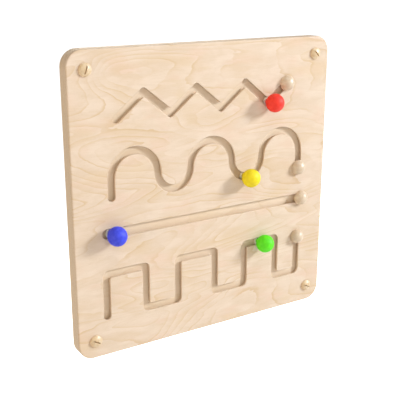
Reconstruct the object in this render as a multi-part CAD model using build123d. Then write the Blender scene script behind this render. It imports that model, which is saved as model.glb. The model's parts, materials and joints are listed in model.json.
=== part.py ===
from build123d import *
import os

# A wall board of birch plywood with four routed grooves. A painted ball slides in
# each groove: its neck passes between the groove's lips, and a glide disc screwed
# to the neck runs in the wider undercut behind them. Millimetres, +Z up. The wall
# is at Y = 0, the board's front faces -Y, and the origin is the back's centre.

# Board
SIDE = 500.0
THICKNESS = 25.0
CORNER_RADIUS = 27.0
EDGE_RADIUS = 2.5

# Grooves: slot between the lips, and the undercut behind them
SLOT_WIDTH = 12.7
WIDE_SLOT_WIDTH = 16.2
LIP_THICKNESS = 3.6
GROOVE_DEPTH = 7.0
LIP_OVERHANG = 3.2
MOUTH_RADIUS = 1.2
INNER_CORNER_RADIUS = 3.0

# Zigzag groove, top
ZIGZAG_START_X = -171.1
ZIGZAG_LOW_Z = 141.2
ZIGZAG_HIGH_Z = 179.9
ZIGZAG_STEP = 48.4
ZIGZAG_LEGS = 6
ZIGZAG_LAST_LEG = 50.1

# Wave groove, second from the top
WAVE_START_X = -183.0
WAVE_END_Z = 17.6
WAVE_CENTRE_Z = 47.6
ARCH_RADIUS = 41.75
TROUGH_RADIUS = 30.65
ARCHES = 3

# Straight groove, third from the top
STRAIGHT_START_X = -193.0
STRAIGHT_END_X = 198.5
STRAIGHT_Z = -41.0

# Square wave groove, bottom
SQUARE_HIGH_Z = -109.0
SQUARE_LOW_Z = -183.0
SQUARE_START_Z = -181.5
SQUARE_END_Z = -115.0
SQUARE_RUNS_X = (-197.3, -125.0, -63.2, 11.0, 73.7, 143.0, 192.2)
SQUARE_PATH_RADIUS = 4.0

# Balls and the parts that hold them in their grooves
BALL_RADIUS = 16.0
BALL_STANDOFF = 0.5
NECK_SIDE_GAP = 0.75
NECK_END_DEPTH = 3.8
DISC_OVERHANG = 2.5
DISC_DEPTH = 3.9
DISC_THICKNESS = 2.6
DISC_EDGE = 0.4
SHANK_RADIUS = 2.5
SHANK_RUNNING_GAP = 0.05
THREAD_RADIUS = 2.2
THREAD_LENGTH = 20.0
TIP_LENGTH = 3.0
DISC_HEAD_RADIUS = 4.0
DISC_HEAD_GAP = 0.3
RECESS_LENGTH = 4.4
RECESS_WIDTH = 1.2
RECESS_DEPTH = 1.3

# Where each ball stands in its groove
RED_FROM_VALLEY = 3.0
YELLOW_FROM_LOWEST = 1.5
BLUE_X = -183.5
GREEN_X = 108.0

# End plugs
DOME_RADIUS = 13.5
PLUG_END_CHAMFER = 1.0
HOLE_EXTRA_RADIUS = 0.1

# Wall screws and their caps. The screws' plain shank passes through the board,
# and their thread begins behind it.
SCREW_SPACING = 440.0
COUNTERBORE_RADIUS = 7.0
COUNTERBORE_DEPTH = 10.0
CLEARANCE_RADIUS = 2.75
WALL_SHANK_RADIUS = 1.85
WALL_HEAD_RADIUS = 5.0
WALL_SCREW_LENGTH = 60.0
WALL_THREAD_RADIUS = 2.5
WALL_THREAD_LENGTH = 36.0
WALL_TIP_LENGTH = 7.0
POINT_RADIUS = 0.2
CAP_RADIUS = 10.3
CAP_RIM = 1.8
CAP_RISE = 4.4
CAP_SPIGOT_LENGTH = 9.0
CAP_SLOT_LENGTH = 13.5
CAP_SLOT_WIDTH = 2.2
CAP_SLOT_DEPTH = 3.4
CAP_SLOT_ANGLES = {"top_left": 72, "top_right": -45, "bottom_left": -27, "bottom_right": -25}

DISC_BACK = DISC_DEPTH + DISC_THICKNESS
DISC_HEAD_HEIGHT = DISC_HEAD_RADIUS - SHANK_RADIUS

ON_BASE = (Align.CENTER, Align.CENTER, Align.MIN)
UNDER_TOP = (Align.CENTER, Align.CENTER, Align.MAX)


def front_at(x=0.0, z=0.0):
    """Plane on the board's front face at (x, z), with its own +Z towards the room."""
    return Plane((x, -THICKNESS, z), x_dir=(1, 0, 0), z_dir=(0, -1, 0))


def unit(start, end):
    """Direction from start to end."""
    length = ((end[0] - start[0]) ** 2 + (end[1] - start[1]) ** 2) ** 0.5
    return ((end[0] - start[0]) / length, (end[1] - start[1]) / length)


def strip(points, half_width, path_radius):
    """Area that a round cutter clears along a cornered path, with rounded corners."""
    normals = []
    for start, end in zip(points, points[1:]):
        dx, dy = unit(start, end)
        normals.append((-dy, dx))
    joints = [normals[0], *normals, normals[-1]]
    left, right, turns = [], [], []
    for point, before, after in zip(points, joints, joints[1:]):
        scale = half_width / (1 + before[0] * after[0] + before[1] * after[1])
        dx = scale * (before[0] + after[0])
        dy = scale * (before[1] + after[1])
        left.append((point[0] + dx, point[1] + dy))
        right.append((point[0] - dx, point[1] - dy))
        turns.append(before[0] * after[1] - before[1] * after[0])
    area = make_face(Polyline(*left, *reversed(right), close=True))
    for over, under, turn in zip(left[1:-1], right[1:-1], turns[1:-1]):
        outer, inner = (under, over) if turn > 0 else (over, under)
        area = round_corner(area, outer, half_width + path_radius)
        area = round_corner(area, inner, INNER_CORNER_RADIUS)
    for end in (points[0], points[-1]):
        area += Pos(*end) * Circle(half_width)
    return area


def round_corner(area, corner, radius):
    """Rounds the one corner of area that lies at the point corner."""
    vertex = area.vertices().sort_by_distance((corner[0], corner[1], 0))[0]
    return fillet(vertex, radius)


def zigzag_points():
    points = []
    for leg in range(ZIGZAG_LEGS + 1):
        z = ZIGZAG_HIGH_Z if leg % 2 else ZIGZAG_LOW_Z
        points.append((ZIGZAG_START_X + leg * ZIGZAG_STEP, z))
    dx, dz = unit((0, ZIGZAG_LOW_Z), (ZIGZAG_STEP, ZIGZAG_HIGH_Z))
    valley = points[-1]
    points.append((valley[0] + ZIGZAG_LAST_LEG * dx, valley[1] + ZIGZAG_LAST_LEG * dz))
    return points


def square_points():
    points = [(SQUARE_RUNS_X[0], SQUARE_START_Z)]
    for index, (x, next_x) in enumerate(zip(SQUARE_RUNS_X, SQUARE_RUNS_X[1:])):
        z = SQUARE_LOW_Z if index % 2 else SQUARE_HIGH_Z
        points += [(x, z), (next_x, z)]
    points.append((SQUARE_RUNS_X[-1], SQUARE_END_Z))
    return points


def wave_path():
    """Vertical, then arches and troughs in turn, then a vertical to the plug."""
    path = [Line((WAVE_START_X, WAVE_END_Z), (WAVE_START_X, WAVE_CENTRE_Z))]
    x = WAVE_START_X
    for index in range(2 * ARCHES - 1):
        radius, sweep = (TROUGH_RADIUS, 180) if index % 2 else (ARCH_RADIUS, -180)
        path.append(CenterArc((x + radius, WAVE_CENTRE_Z), radius, 180, sweep))
        x += 2 * radius
    path.append(Line((x, WAVE_CENTRE_Z), (x, WAVE_END_Z)))
    return path, x


def wave_area(half_width):
    path, end_x = wave_path()
    area = trace(path, 2 * half_width)
    for x in (WAVE_START_X, end_x):
        area += Pos(x, WAVE_END_Z) * Circle(half_width)
    return area


def groove_areas(half_width):
    """The four grooves' areas at this half width, the straight one wider by the same step."""
    straight_half = half_width + (WIDE_SLOT_WIDTH - SLOT_WIDTH) / 2
    straight = [(STRAIGHT_START_X, STRAIGHT_Z), (STRAIGHT_END_X, STRAIGHT_Z)]
    return {
        "zigzag": strip(zigzag_points(), half_width, 0.0),
        "wave": wave_area(half_width),
        "straight": strip(straight, straight_half, 0.0),
        "square": strip(square_points(), half_width, SQUARE_PATH_RADIUS),
    }


def slot_width(groove):
    return WIDE_SLOT_WIDTH if groove == "straight" else SLOT_WIDTH


def hole_radius(groove):
    """Radius of the hole at a groove's end that lets the glide disc in."""
    return slot_width(groove) / 2 + LIP_OVERHANG + HOLE_EXTRA_RADIUS


def plug_places():
    return {
        "zigzag": zigzag_points()[-1],
        "wave": (wave_path()[1], WAVE_END_Z),
        "straight": (STRAIGHT_END_X, STRAIGHT_Z),
        "square": (SQUARE_RUNS_X[-1], SQUARE_END_Z),
    }


def screw_places():
    half = SCREW_SPACING / 2
    return {
        "top_left": (-half, half),
        "top_right": (half, half),
        "bottom_left": (-half, -half),
        "bottom_right": (half, -half),
    }


def turned(*profile):
    """Solid of revolution about local Z, from lines and arcs that close on the axis."""
    return revolve(Plane.XZ * make_face(Curve() + list(profile)), Axis.Z)


def board():
    outline = RectangleRounded(SIDE, SIDE, CORNER_RADIUS)
    body = extrude(front_at() * outline, -THICKNESS)
    rims = body.edges().filter_by_position(Axis.Y, -THICKNESS, -THICKNESS)
    rims += body.edges().filter_by_position(Axis.Y, 0, 0)
    body = fillet(rims, EDGE_RADIUS)
    slots = groove_areas(SLOT_WIDTH / 2)
    for area in slots.values():
        body -= extrude(front_at() * area, -GROOVE_DEPTH)
    mouths = ShapeList()
    for wire in body.faces().sort_by(Axis.Y)[0].inner_wires():
        mouths += wire.edges()
    body = fillet(mouths, MOUTH_RADIUS)
    behind_lips = front_at().offset(-LIP_THICKNESS)
    for area in groove_areas(SLOT_WIDTH / 2 + LIP_OVERHANG).values():
        body -= extrude(behind_lips * area, LIP_THICKNESS - GROOVE_DEPTH)
    for groove, (x, z) in plug_places().items():
        body -= extrude(front_at(x, z) * Circle(hole_radius(groove)), -GROOVE_DEPTH)
    for x, z in screw_places().values():
        body -= front_at(x, z) * screw_hole()
    return body


def screw_hole():
    """Counterbore for the cap's spigot, countersink and clearance hole, as one cutter."""
    bore = cylinder_between(COUNTERBORE_RADIUS, -COUNTERBORE_DEPTH, 0)
    through = cylinder_between(CLEARANCE_RADIUS, -THICKNESS, 0)
    return bore + countersunk(CLEARANCE_RADIUS) + through


def cylinder_between(radius, low, high):
    return Pos(0, 0, low) * Cylinder(radius, high - low, align=ON_BASE)


def countersunk(neck_radius):
    """Square cone of a wall screw's head, down from the counterbore's floor."""
    height = WALL_HEAD_RADIUS - neck_radius
    cone = Cone(neck_radius, WALL_HEAD_RADIUS, height, align=ON_BASE)
    return Pos(0, 0, -COUNTERBORE_DEPTH - height) * cone


def cross_recess():
    """Cutter for a cross drive sunk below local Z = 0."""
    bar = Box(RECESS_LENGTH, RECESS_WIDTH, RECESS_DEPTH, align=UNDER_TOP)
    return bar + Rot(0, 0, 90) * bar


def pointed_shank(radius, length, tip):
    """Shank that runs down from local Z = 0 to a point."""
    body = cylinder_between(radius, tip - length, 0)
    return body + Pos(0, 0, -length) * Cone(POINT_RADIUS, radius, tip, align=ON_BASE)


def ball(groove):
    """Painted ball with its turned neck and the pilot hole for the disc's screw."""
    centre = BALL_RADIUS + BALL_STANDOFF
    neck_radius = slot_width(groove) / 2 - NECK_SIDE_GAP
    solid = Pos(0, 0, centre) * Sphere(BALL_RADIUS)
    solid += cylinder_between(neck_radius, -NECK_END_DEPTH, centre)
    pilot_depth = THREAD_LENGTH + TIP_LENGTH
    return solid - cylinder_between(THREAD_RADIUS, -NECK_END_DEPTH, pilot_depth - NECK_END_DEPTH)


def square_cone(small, large):
    """Cone whose height is the growth of its radius, from local Z = 0 up to its neck."""
    return Cone(large, small, large - small, align=ON_BASE)


def glide_disc(groove):
    """Disc that runs behind the lips, countersunk at its back for the screw's head."""
    radius = slot_width(groove) / 2 + DISC_OVERHANG
    bore_radius = SHANK_RADIUS + SHANK_RUNNING_GAP
    disc = cylinder_between(radius, -DISC_BACK, -DISC_DEPTH)
    disc = chamfer(disc.edges().filter_by(GeomType.CIRCLE), DISC_EDGE)
    disc -= cylinder_between(bore_radius, -DISC_BACK, -DISC_DEPTH)
    return disc - Pos(0, 0, -DISC_BACK) * square_cone(bore_radius, DISC_HEAD_RADIUS + DISC_HEAD_GAP)


def disc_screw():
    """Countersunk screw: plain shank through the disc, thread in the ball's neck."""
    head = square_cone(SHANK_RADIUS, DISC_HEAD_RADIUS) - Rot(180, 0, 0) * cross_recess()
    shank = cylinder_between(SHANK_RADIUS, DISC_HEAD_HEIGHT - DISC_BACK, -NECK_END_DEPTH)
    thread = Rot(180, 0, 0) * pointed_shank(THREAD_RADIUS, THREAD_LENGTH, TIP_LENGTH)
    return Pos(0, 0, -DISC_BACK) * head + shank + Pos(0, 0, -NECK_END_DEPTH) * thread


def end_plug(groove):
    """Half ball of natural wood on a spigot that fills the groove's entry hole."""
    spigot = cylinder_between(hole_radius(groove), -GROOVE_DEPTH, 0)
    spigot = chamfer(spigot.edges().sort_by(Axis.Z)[0], PLUG_END_CHAMFER)
    dome = Sphere(DOME_RADIUS, arc_size1=0, align=ON_BASE)
    return dome + spigot


def wall_screw():
    """Countersunk screw whose flat head lies at the counterbore's floor."""
    thread_depth = COUNTERBORE_DEPTH + WALL_SCREW_LENGTH - WALL_THREAD_LENGTH
    shank = cylinder_between(WALL_SHANK_RADIUS, -thread_depth, -COUNTERBORE_DEPTH)
    thread = pointed_shank(WALL_THREAD_RADIUS, WALL_THREAD_LENGTH, WALL_TIP_LENGTH)
    screw = countersunk(WALL_SHANK_RADIUS) + shank + Pos(0, 0, -thread_depth) * thread
    return screw - Pos(0, 0, -COUNTERBORE_DEPTH) * cross_recess()


def screw_cap(angle):
    """Slotted domed cap on a spigot that is pressed into the counterbore."""
    spigot = cylinder_between(COUNTERBORE_RADIUS, -CAP_SPIGOT_LENGTH, 0)
    top = CAP_RIM + CAP_RISE
    rim = Line((0, 0), (CAP_RADIUS, 0)) + Line((CAP_RADIUS, 0), (CAP_RADIUS, CAP_RIM))
    sphere_radius = (CAP_RADIUS ** 2 + CAP_RISE ** 2) / (2 * CAP_RISE)
    crown = RadiusArc((CAP_RADIUS, CAP_RIM), (0, top), -sphere_radius)
    head = turned(rim, crown, Line((0, top), (0, 0)))
    outline = SlotOverall(CAP_SLOT_LENGTH, CAP_SLOT_WIDTH)
    slot = extrude(outline, CAP_SLOT_DEPTH, both=True)
    return spigot + head - Pos(0, 0, top) * Rot(0, 0, angle) * slot


def slider_places():
    """Groove and (x, z) of each ball."""
    valley = zigzag_points()[-2]
    dx, dz = unit(valley, zigzag_points()[-1])
    red = (valley[0] + RED_FROM_VALLEY * dx, valley[1] + RED_FROM_VALLEY * dz)
    trough_x = WAVE_START_X + 4 * ARCH_RADIUS + 3 * TROUGH_RADIUS
    drop = (TROUGH_RADIUS ** 2 - YELLOW_FROM_LOWEST ** 2) ** 0.5
    yellow = (trough_x - YELLOW_FROM_LOWEST, WAVE_CENTRE_Z - drop)
    return {
        "red": ("zigzag", red),
        "yellow": ("wave", yellow),
        "blue": ("straight", (BLUE_X, STRAIGHT_Z)),
        "green": ("square", (GREEN_X, SQUARE_HIGH_Z)),
    }


def write(name, shape):
    export_step(shape, f"parts/{name}.step")


os.makedirs("parts", exist_ok=True)
write("board", board())
for groove, (x, z) in plug_places().items():
    write(f"{groove}_end_plug", front_at(x, z) * end_plug(groove))
for colour, (groove, (x, z)) in slider_places().items():
    place = front_at(x, z)
    write(f"{colour}_ball", place * ball(groove))
    write(f"{colour}_glide_disc", place * glide_disc(groove))
    write(f"{colour}_disc_screw", place * disc_screw())
for corner, (x, z) in screw_places().items():
    place = front_at(x, z)
    write(f"{corner}_wall_screw", place * wall_screw())
    write(f"{corner}_screw_cap", place * screw_cap(CAP_SLOT_ANGLES[corner]))
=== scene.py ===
import json
from math import cos, pi, radians, sin

import bmesh
import bpy
from mathutils import Matrix, Vector

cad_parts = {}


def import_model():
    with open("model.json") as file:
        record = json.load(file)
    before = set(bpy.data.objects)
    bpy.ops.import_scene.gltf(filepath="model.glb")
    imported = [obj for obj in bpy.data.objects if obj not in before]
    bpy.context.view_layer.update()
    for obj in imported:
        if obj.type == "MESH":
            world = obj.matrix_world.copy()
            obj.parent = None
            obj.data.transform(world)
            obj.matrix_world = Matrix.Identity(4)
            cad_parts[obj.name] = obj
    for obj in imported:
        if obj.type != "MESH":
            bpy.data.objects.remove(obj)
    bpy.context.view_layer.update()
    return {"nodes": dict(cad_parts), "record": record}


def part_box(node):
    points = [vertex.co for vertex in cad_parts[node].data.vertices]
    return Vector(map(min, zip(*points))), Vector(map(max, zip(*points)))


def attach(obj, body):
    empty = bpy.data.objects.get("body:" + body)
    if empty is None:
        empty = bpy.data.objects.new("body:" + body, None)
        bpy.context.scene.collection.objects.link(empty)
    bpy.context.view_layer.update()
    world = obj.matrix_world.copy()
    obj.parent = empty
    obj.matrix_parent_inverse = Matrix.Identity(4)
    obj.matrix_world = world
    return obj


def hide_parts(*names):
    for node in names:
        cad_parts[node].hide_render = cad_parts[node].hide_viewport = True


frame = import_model()

# A square wall board of birch plywood with four grooves, and a painted ball captive in each.
# Metres, in the model's own frame: the wall is at Y = 0 and the board's front faces -Y.
MM = 0.001
board_low, board_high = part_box("board")
FRONT_Y = board_low.y
SIDE = board_high.x - board_low.x
COLOURS = ("red", "yellow", "blue", "green")
CORNERS = ("top_left", "top_right", "bottom_left", "bottom_right")

# Camera: where it stands from the board's front centre, in board sides, which way it looks, in
# degrees, and its lens and sensor, in millimetres
CAMERA_PLACE = (-1.3689, -2.1051, 0.7195)
CAMERA_YAW = 32.28
CAMERA_PITCH = 16.60
CAMERA_LENS = 69.3
CAMERA_REACH = 400.0
SENSOR = 36.0

# Lamps: round, and aimed at the board's front centre from this direction and distance
COOL_LIGHT = (0.84, 0.92, 1.0)
WARM_LIGHT = (1.0, 0.895, 0.74)
LAMPS = {
    "key": {"direction": (0.775, -0.52, 0.36), "distance": 4.8, "size": 1.35,
            "power": 288.0, "colour": COOL_LIGHT},
    "fill": {"direction": (-0.3, -0.88, 0.36), "distance": 3.6, "size": 2.8,
             "power": 40.0, "colour": WARM_LIGHT},
    "top": {"direction": (0.1, -0.35, 0.93), "distance": 3.0, "size": 1.6,
            "power": 28.0, "colour": COOL_LIGHT},
    "left": {"direction": (-0.97, -0.2, 0.1), "distance": 3.0, "size": 1.6,
             "power": 36.0, "colour": WARM_LIGHT},
    "back": {"direction": (0.3, 0.93, 0.2), "distance": 3.4, "size": 2.4,
             "power": 60.0, "colour": WARM_LIGHT},
}

# Surroundings
WHITE = (1.0, 1.0, 1.0, 1.0)
WORLD_STRENGTH = 0.15
FLOOR_DROP = 1.0
FLOOR_SIZE = 120.0
FLOOR_GLOW = 0.08

# Plywood
PLY = 1.47 * MM
GLUE_LINE = 0.12 * MM
PLY_SEED_STEP = 5.37

# Meshes of the screws
SEGMENTS = 40
ROWS_PER_TURN = 14
SHARP_ANGLE = radians(38)

# Screws, in millimetres. Heights are measured from the head's flat, and go down to the point.
# "rim" gives the head's edge in shares of its radius, "neck" the end of its cone in shares of
# the shank's radius, below that end. "shoulder" is the step from the shank to the thread.
WALL_SCREW = {
    "rim": ((0.0, 0.93), (-0.15, 0.985), (-0.45, 0.93)),
    "neck": ((0.0, 1.02), (-1.0, 1.0)),
    "shank": 1.85,
    "shoulder": 0.3,
    "thread_start": -24.0,
    "crest": 2.5,
    "root": 1.6,
    "pitch": 2.8,
    "tip": 8.0,
    "recess": {"width": 5.0, "slot": 1.2, "depth": 1.9},
}
DISC_SCREW = {
    "rim": ((0.0, 0.95), (-0.08, 0.985), (-0.2, 0.95)),
    "neck": ((0.0, 1.0),),
    "shank": 2.5,
    "shoulder": 0.2,
    "thread_start": -2.9,
    "crest": 2.2,
    "root": 1.55,
    "pitch": 1.8,
    "tip": 3.4,
    "recess": {"width": 4.4, "slot": 1.2, "depth": 1.4},
}
THREAD_RUN_IN = 0.2
UNDER_THREAD = 1.05
POINT_SHARE = 0.12
CREST_FADE = 1.6
RIDGE_HALF_WIDTH = 0.27
RECESS_MOUTH = 1.08
RECESS_BOTTOM = 0.42
RECESS_OVERSHOOT = 0.2


# ---------------------------------------------------------------- material helpers
class Nodes:
    """Short way to write a material's node tree."""

    def __init__(self, name):
        self.material = bpy.data.materials.new(name)
        self.material.use_nodes = True
        self.tree = self.material.node_tree
        self.tree.nodes.clear()
        self.out = self.tree.nodes.new("ShaderNodeOutputMaterial")
        self.shader = self.tree.nodes.new("ShaderNodeBsdfPrincipled")
        self.tree.links.new(self.shader.outputs[0], self.out.inputs["Surface"])

    def add(self, kind, inputs=None, **settings):
        node = self.tree.nodes.new(kind)
        for key, value in settings.items():
            setattr(node, key, value)
        for key, value in (inputs or {}).items():
            self.feed(node.inputs[key], value)
        return node

    def feed(self, socket, value):
        if isinstance(value, bpy.types.NodeSocket):
            self.tree.links.new(value, socket)
        else:
            socket.default_value = value

    def feed_all(self, sockets, values):
        for socket, value in zip(sockets, values):
            self.feed(socket, value)

    def math(self, operation, *values):
        node = self.add("ShaderNodeMath", operation=operation)
        self.feed_all(node.inputs, values)
        return node.outputs[0]

    def plus(self, a, b):
        return self.math("ADD", a, b)

    def minus(self, a, b):
        return self.math("SUBTRACT", a, b)

    def times(self, a, b):
        return self.math("MULTIPLY", a, b)

    def place(self):
        """Object coordinates in metres: the model's own frame."""
        return self.add("ShaderNodeTexCoord").outputs["Object"]

    def split(self, vector):
        return self.add("ShaderNodeSeparateXYZ", {"Vector": vector}).outputs

    def vector(self, x, y, z):
        return self.add("ShaderNodeCombineXYZ", {"X": x, "Y": y, "Z": z}).outputs[0]

    def squeezed(self, x_share, y_share, z_share):
        """Place with its axes scaled: a small share draws a pattern out along that axis."""
        x, y, z = self.split(self.place())
        return self.vector(self.times(x, x_share), self.times(y, y_share), self.times(z, z_share))

    def noise(self, vector, scale=1.0, detail=2.0, roughness=0.5, distortion=0.0):
        inputs = {"Vector": vector, "Scale": scale, "Detail": detail,
                  "Roughness": roughness, "Distortion": distortion}
        return self.add("ShaderNodeTexNoise", inputs).outputs[0]

    def step(self, value, low, high, to_low=0.0, to_high=1.0):
        """Smooth step of value from low to high."""
        inputs = {"Value": value, "From Min": low, "From Max": high,
                  "To Min": to_low, "To Max": to_high}
        node = self.add("ShaderNodeMapRange", inputs, interpolation_type="SMOOTHSTEP")
        return node.outputs[0]

    def mix(self, factor, a, b):
        """Colour a where factor is 0 and b where it is 1."""
        node = self.add("ShaderNodeMix", data_type="RGBA")
        self.feed_all((node.inputs[0], node.inputs[6], node.inputs[7]), (factor, a, b))
        return node.outputs[2]

    def pick(self, factor, a, b):
        """Number a where factor is 0 and b where it is 1."""
        node = self.add("ShaderNodeMix", data_type="FLOAT")
        self.feed_all((node.inputs[0], node.inputs[2], node.inputs[3]), (factor, a, b))
        return node.outputs[0]

    def bump(self, height, distance, strength=1.0):
        inputs = {"Height": height, "Distance": distance, "Strength": strength}
        return self.add("ShaderNodeBump", inputs).outputs[0]

    def finish(self, colour, roughness, normal, **constants):
        """Feeds the shader. A constant's name is its socket's, with _ for a space."""
        self.feed(self.shader.inputs["Base Color"], colour)
        self.feed(self.shader.inputs["Roughness"], roughness)
        self.feed(self.shader.inputs["Normal"], normal)
        for name, value in constants.items():
            self.shader.inputs[name.replace("_", " ")].default_value = value
        return self.material


def rgb(red, green, blue):
    """Linear colour from sRGB values of 0 to 255."""
    parts = []
    for value in (red, green, blue):
        share = value / 255
        parts.append(share / 12.92 if share <= 0.04045 else ((share + 0.055) / 1.055) ** 2.4)
    return (*parts, 1.0)


# ---------------------------------------------------------------- materials
def birch_plywood():
    """Rotary cut birch. The grain of every second ply runs up instead of across."""
    n = Nodes("birch_plywood_grain")
    x, y, z = n.split(n.place())
    depth = n.math("DIVIDE", n.minus(y, FRONT_Y), PLY)
    ply = n.math("FLOOR", depth)
    cross = n.math("MODULO", ply, 2.0)
    along = n.pick(cross, x, z)
    across = n.pick(cross, z, x)
    seed = n.times(ply, PLY_SEED_STEP)

    def grain(cells_along, cells_across, shift=0.0, **noise):
        """Noise with this many cells to the metre along and across the grain."""
        where = n.vector(n.times(along, cells_along), n.times(across, cells_across),
                         n.plus(seed, shift))
        return n.noise(where, **noise)

    # growth rings, cut flat: contour lines of a smooth field drawn out along the grain
    swell = grain(2.9, 9.5, detail=1.6, roughness=0.4, distortion=0.6)
    wander = grain(30.0, 90.0)
    phase = n.math("FRACT", n.plus(n.times(swell, 22.0), n.times(wander, 0.5)))
    fall = n.step(phase, 1.0, 0.97)
    band = n.times(n.step(phase, 0.05, 0.95), fall)
    strength = n.step(grain(9.0, 22.0, detail=1.0), 0.4, 0.65, 0.1, 1.0)
    late = n.times(n.times(n.step(phase, 0.76, 0.96), fall), strength)

    # soft mottling, fine fibres and short pores
    mottle = grain(18.0, 55.0, detail=3.0, roughness=0.55, distortion=0.5)
    blush = grain(14.0, 34.0, shift=41.0)
    gold = grain(11.0, 28.0, shift=83.0)
    fibre = grain(38.0, 900.0, detail=3.0, roughness=0.6)
    pores = n.step(grain(170.0, 2600.0, detail=1.0), 0.64, 0.76)

    colour = n.mix(n.step(mottle, 0.34, 0.66), rgb(210, 189, 168), rgb(203, 180, 156))
    layers = (
        (n.times(n.step(blush, 0.5, 0.7), 0.6), rgb(208, 178, 155)),
        (n.times(n.step(gold, 0.52, 0.72), 0.6), rgb(203, 178, 146)),
        (n.times(band, n.step(gold, 0.4, 0.6, 0.1, 0.45)), rgb(197, 168, 135)),
        (n.times(late, 0.5), rgb(188, 153, 108)),
        (n.times(n.step(fibre, 0.3, 0.7), 0.12), rgb(180, 148, 110)),
        (n.times(pores, 0.24), rgb(128, 94, 62)),
    )
    for share, tone in layers:
        colour = n.mix(share, colour, tone)

    # the inner plies, seen in the grooves and at the edges, are paler than the face; this paler tone is
    # also painted light that lifts the shade on the groove floors
    colour = n.mix(n.step(depth, 0.8, 2.5, 0.0, 0.5), colour, rgb(226, 203, 174))

    # end grain drinks more lacquer and reads darker, by a little more or less in each ply
    normal = n.add("ShaderNodeNewGeometry").outputs["Normal"]
    nx, ny, nz = n.split(normal)
    end = n.math("ABSOLUTE", n.pick(cross, nx, nz))
    tint = n.noise(n.vector(n.times(seed, 3.1), n.times(along, 3.0), 0.5), detail=1.0)
    colour = n.mix(n.times(end, n.step(tint, 0.3, 0.7, 0.06, 0.2)), colour, rgb(144, 106, 70))

    # the glue shows as thin lines where the plies are cut across
    share = n.math("FRACT", depth)
    near = n.math("MINIMUM", share, n.minus(1.0, share))
    edge = n.minus(1.0, n.math("ABSOLUTE", ny))
    glue = n.times(n.step(near, GLUE_LINE / PLY, 0.3 * GLUE_LINE / PLY), n.step(edge, 0.05, 0.5))
    colour = n.mix(n.times(glue, 0.5), colour, rgb(104, 71, 44))

    height = n.plus(n.plus(n.times(fibre, 0.4), n.times(pores, -0.5)), n.times(late, 0.25))
    roughness = n.step(fibre, 0.25, 0.75, 0.5, 0.62)
    return n.finish(colour, roughness, n.bump(height, 0.12 * MM, 0.35), Specular_IOR_Level=0.4)


def turned_wood(name, light, dark, late_tone):
    """Wood turned on a spigot that points along Y: rings show as arcs on the dome."""
    n = Nodes(name)
    x, y, z = n.split(n.place())
    where = n.squeezed(1.0, 0.25, 1.0)
    sway = n.noise(where, 55.0)
    rings = n.plus(n.times(n.plus(z, n.times(x, 0.42)), 520.0), n.times(sway, 2.6))
    phase = n.math("FRACT", rings)
    late = n.times(n.step(phase, 0.3, 0.9), n.step(phase, 1.0, 0.93))
    mottle = n.noise(where, 140.0, detail=3.0, roughness=0.6)
    flecks = n.step(n.noise(n.squeezed(1.0, 0.12, 1.0), 2600.0, detail=1.0), 0.6, 0.72)
    colour = n.mix(n.step(mottle, 0.35, 0.65), light, dark)
    colour = n.mix(n.times(late, 0.42), colour, late_tone)
    colour = n.mix(n.times(flecks, 0.28), colour, late_tone)
    height = n.plus(n.times(late, 0.3), n.times(flecks, -0.5))
    roughness = n.step(mottle, 0.3, 0.7, 0.38, 0.48)
    return n.finish(colour, roughness, n.bump(height, 0.06 * MM, 0.3),
                    Specular_IOR_Level=0.5, Coat_Weight=0.5, Coat_Roughness=0.42)


def paint(name, colour, deep):
    """Satin paint on turned wood: faint orange peel, brush-thin spots and the grain below."""
    n = Nodes(name)
    cloud = n.noise(n.place(), 160.0)
    peel = n.noise(n.place(), 1500.0, detail=1.0, roughness=0.4)
    grain = n.noise(n.squeezed(1.0, 0.08, 1.0), 700.0)
    specks = n.step(n.noise(n.place(), 3200.0, detail=1.0), 0.7, 0.78)
    tone = n.mix(n.step(cloud, 0.3, 0.7), colour, deep)
    tone = n.mix(n.times(specks, 0.18), tone, deep)
    height = n.plus(n.times(peel, 0.5), n.times(grain, 0.4))
    roughness = n.step(cloud, 0.3, 0.7, 0.52, 0.6)
    return n.finish(tone, roughness, n.bump(height, 0.05 * MM, 0.25), Specular_IOR_Level=0.4)


def nylon():
    """Natural nylon turned about Y, with the tool's fine rings."""
    n = Nodes("nylon_turned")
    cloud = n.noise(n.place(), 220.0)
    cut = n.noise(n.squeezed(0.05, 1.0, 0.05), 5200.0, detail=1.0)
    tone = n.mix(n.step(cloud, 0.3, 0.7), rgb(238, 232, 214), rgb(226, 218, 196))
    roughness = n.step(cut, 0.3, 0.7, 0.36, 0.5)
    return n.finish(tone, roughness, n.bump(cut, 0.03 * MM, 0.3),
                    Subsurface_Weight=0.15, Subsurface_Scale=1.5 * MM)


def zinc():
    """Bright zinc plate over drawn steel wire."""
    n = Nodes("zinc_plate")
    bloom = n.noise(n.place(), 420.0, detail=3.0, roughness=0.6)
    drawn = n.noise(n.squeezed(1.0, 0.04, 1.0), 3000.0, roughness=0.6)
    pits = n.step(n.noise(n.place(), 2400.0, detail=1.0), 0.62, 0.74)
    tone = n.mix(n.step(bloom, 0.3, 0.7), rgb(196, 198, 200), rgb(172, 172, 168))
    tone = n.mix(n.times(pits, 0.35), tone, rgb(126, 124, 118))
    roughness = n.step(bloom, 0.25, 0.75, 0.24, 0.42)
    return n.finish(tone, roughness, n.bump(n.plus(drawn, pits), 0.02 * MM, 0.3), Metallic=1.0)


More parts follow.
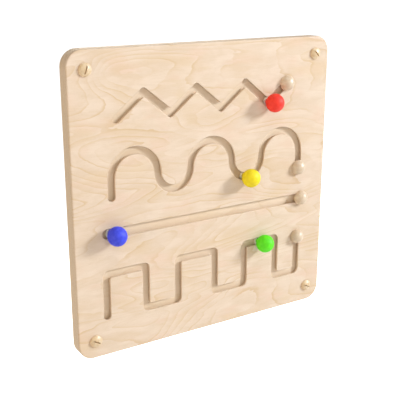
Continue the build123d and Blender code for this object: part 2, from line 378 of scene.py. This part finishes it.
# A material for each material slot of the record
MATERIALS = {
    "birch_plywood": birch_plywood(),
    "turned_beech": turned_wood("plug_wood", rgb(208, 187, 160), rgb(199, 174, 145),
                                rgb(168, 136, 105)),
    "cap_beech": turned_wood("cap_wood", rgb(212, 188, 152), rgb(202, 172, 132),
                             rgb(172, 136, 92)),
    "red_lacquer": paint("red_paint", rgb(232, 52, 28), rgb(222, 40, 20)),
    "yellow_lacquer": paint("yellow_paint", rgb(226, 204, 0), rgb(216, 192, 0)),
    "blue_lacquer": paint("blue_paint", rgb(56, 68, 212), rgb(48, 58, 198)),
    "green_lacquer": paint("green_paint", rgb(88, 216, 0), rgb(78, 204, 0)),
    "natural_nylon": nylon(),
    "zinc_steel": zinc(),
}


# ---------------------------------------------------------------- screws
def add_object(name, shape):
    """Scene object from a bmesh, which is used up."""
    mesh = bpy.data.meshes.new(name)
    bmesh.ops.recalc_face_normals(shape, faces=shape.faces)
    shape.to_mesh(mesh)
    shape.free()
    piece = bpy.data.objects.new(name, mesh)
    bpy.context.scene.collection.objects.link(piece)
    return piece


def bridge(shape, low, high):
    """Quads between two rings that have as many points."""
    for index in range(len(low)):
        after = (index + 1) % len(low)
        shape.faces.new((low[index], low[after], high[after], high[index]))


def lathe(name, rows, place):
    """Closed solid of rings. A row is (height, radius at an angle), from the point up to the
    head, and place maps the local frame to the model's."""
    shape = bmesh.new()
    angles = [2 * pi * index / SEGMENTS for index in range(SEGMENTS)]
    rings = []
    for height, radius_at in rows:
        ring = []
        for angle in angles:
            radius = radius_at(angle)
            ring.append(shape.verts.new(place @ Vector((radius * cos(angle), radius * sin(angle), height))))
        rings.append(ring)
    for low, high in zip(rings, rings[1:]):
        bridge(shape, low, high)
    shape.faces.new(list(reversed(rings[0])))
    shape.faces.new(rings[-1])
    return add_object(name, shape)


def cross_cutter(place, width, slot, depth):
    """Tapered cross, for a screwdriver's recess that goes down from local Z = 0."""
    shape = bmesh.new()
    half, wing = slot / 2, width / 2
    outline = [(half, half), (half, wing), (-half, wing), (-half, half),
               (-wing, half), (-wing, -half), (-half, -half), (-half, -wing),
               (half, -wing), (half, -half), (wing, -half), (wing, half)]
    levels = ((RECESS_OVERSHOOT * depth, RECESS_MOUTH), (-depth, RECESS_BOTTOM))
    top, bottom = [[shape.verts.new(place @ Vector((x * share, y * share, height)))
                    for x, y in outline] for height, share in levels]
    bridge(shape, top, bottom)
    shape.faces.new(top)
    shape.faces.new(bottom)
    return add_object("cutter", shape)


def cut(piece, cutter):
    """Takes the cutter out of the piece, for good."""
    modifier = piece.modifiers.new("recess", "BOOLEAN")
    modifier.operation = "DIFFERENCE"
    modifier.solver = "EXACT"
    modifier.object = cutter
    graph = bpy.context.evaluated_depsgraph_get()
    result = bpy.data.meshes.new_from_object(piece.evaluated_get(graph))
    piece.modifiers.clear()
    piece.data = result
    bpy.data.objects.remove(cutter)


def plain(radius):
    return lambda angle: radius


def threaded(core, ridge, turns):
    """Radius around a ring that lies this many turns up a thread with a V-shaped ridge."""
    def radius_at(angle):
        phase = (turns - angle / (2 * pi)) % 1.0
        return core + ridge * max(0.0, 1 - abs(phase - 0.5) / RIDGE_HALF_WIDTH)

    return radius_at


def thread_rows(start, end, sizes):
    """Rows of a helical thread from height start down to a point at height end."""
    root, pitch = sizes["root"] * MM, sizes["pitch"] * MM
    full_ridge = (sizes["crest"] - sizes["root"]) * MM
    count = int(ROWS_PER_TURN * (start - end) / pitch)
    rows = []
    for index in range(count + 1):
        height = start + (end - start) * index / count
        taper = min(1.0, (height - end) / (sizes["tip"] * MM))
        run_in = min(1.0, (start - height) / pitch)
        core = root * (POINT_SHARE + (1 - POINT_SHARE) * taper)
        ridge = full_ridge * run_in * min(1.0, CREST_FADE * taper)
        rows.append((height, threaded(core, ridge, height / pitch)))
    return rows


def screw(name, node, sizes, towards_wall):
    """Countersunk screw with a thread and a cross recess, as long and wide as its CAD node.
    Its head faces the room, or the wall."""
    low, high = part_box(node)
    head = (high.x - low.x) / 2
    length = high.y - low.y
    shank, root = sizes["shank"] * MM, sizes["root"] * MM
    thread_start = sizes["thread_start"] * MM
    cone_end = shank - head
    rows = [(height * MM, plain(share * head)) for height, share in sizes["rim"]]
    rows += [(cone_end + below * MM, plain(share * shank)) for below, share in sizes["neck"]]
    rows.append((thread_start + sizes["shoulder"] * MM, plain(shank)))
    rows.append((thread_start, plain(UNDER_THREAD * root)))
    rows += thread_rows(thread_start - THREAD_RUN_IN * MM, -length, sizes)

    flat_y = high.y if towards_wall else low.y
    turn = Matrix.Rotation(radians(-90 if towards_wall else 90), 4, "X")
    place = Matrix.Translation(((low.x + high.x) / 2, flat_y, (low.z + high.z) / 2)) @ turn
    piece = lathe(name, list(reversed(rows)), place)
    recess = {key: value * MM for key, value in sizes["recess"].items()}
    cut(piece, cross_cutter(place, **recess))
    piece.data.shade_smooth()
    piece.data.set_sharp_from_angle(angle=SHARP_ANGLE)
    return piece


def in_steel(piece, body, node):
    piece.data.materials.clear()
    piece.data.materials.append(MATERIALS["zinc_steel"])
    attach(piece, body)
    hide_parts(node)


# ---------------------------------------------------------------- camera, light and floor
def look():
    camera = bpy.data.cameras.new("camera")
    camera.sensor_width = SENSOR
    camera.lens = CAMERA_LENS
    camera.clip_end = CAMERA_REACH
    eye = bpy.data.objects.new("camera", camera)
    eye.location = Vector((0, FRONT_Y, 0)) + SIDE * Vector(CAMERA_PLACE)
    eye.rotation_euler = (radians(90 - CAMERA_PITCH), 0, radians(-CAMERA_YAW))
    bpy.context.scene.collection.objects.link(eye)
    bpy.context.scene.camera = eye


def lamp(name, direction, distance, size, power, colour):
    data = bpy.data.lights.new(name, "AREA")
    data.shape = "DISK"
    data.size = size
    data.energy = power
    data.color = colour
    light = bpy.data.objects.new(name, data)
    light.location = Vector((0, FRONT_Y, 0)) + distance * Vector(direction).normalized()
    light.rotation_euler = Vector(direction).to_track_quat("Z", "Y").to_euler()
    bpy.context.scene.collection.objects.link(light)


def world():
    """Dim white surroundings that the camera sees as full white."""
    studio = bpy.data.worlds.new("studio")
    studio.use_nodes = True
    nodes, links = studio.node_tree.nodes, studio.node_tree.links
    background = nodes["Background"]
    background.inputs["Color"].default_value = WHITE
    seen = nodes.new("ShaderNodeLightPath").outputs["Is Camera Ray"]
    strength = nodes.new("ShaderNodeMath")
    strength.operation = "MAXIMUM"
    strength.inputs[1].default_value = WORLD_STRENGTH
    links.new(seen, strength.inputs[0])
    links.new(strength.outputs[0], background.inputs["Strength"])
    bpy.context.scene.world = studio
    bpy.context.scene.view_settings.view_transform = "Standard"


def floor():
    """Pale floor that the camera sees as full white, so that it meets the world unseen."""
    n = Nodes("floor_paint")
    cloud = n.noise(n.place(), 3.0)
    tone = n.mix(cloud, (0.98, 0.98, 0.98, 1), (0.96, 0.96, 0.96, 1))
    n.finish(tone, 0.9, n.bump(cloud, 0.2 * MM), Specular_IOR_Level=0.0, Emission_Color=WHITE)
    seen = n.add("ShaderNodeLightPath").outputs["Is Camera Ray"]
    n.feed(n.shader.inputs["Emission Strength"], n.math("MAXIMUM", seen, FLOOR_GLOW))
    shape = bmesh.new()
    bmesh.ops.create_grid(shape, x_segments=1, y_segments=1, size=FLOOR_SIZE)
    plane = add_object("floor", shape)
    plane.data.materials.append(n.material)
    plane.location = (0, 0, board_low.z - FLOOR_DROP)


# ---------------------------------------------------------------- build
look()
world()
for name, settings in LAMPS.items():
    lamp(name, **settings)
floor()
slots = {part["node"]: part["material_slot"] for part in frame["record"]["subparts"]}
for node, part in frame["nodes"].items():
    part.data.materials.clear()
    part.data.materials.append(MATERIALS[slots[node]])
for corner in CORNERS:
    node = f"{corner}_wall_screw"
    in_steel(screw(f"{corner}_wood_screw", node, WALL_SCREW, towards_wall=False), "board", node)
for colour in COLOURS:
    node = f"{colour}_disc_screw"
    in_steel(screw(f"{colour}_flat_screw", node, DISC_SCREW, towards_wall=True), f"{colour}_knob", node)
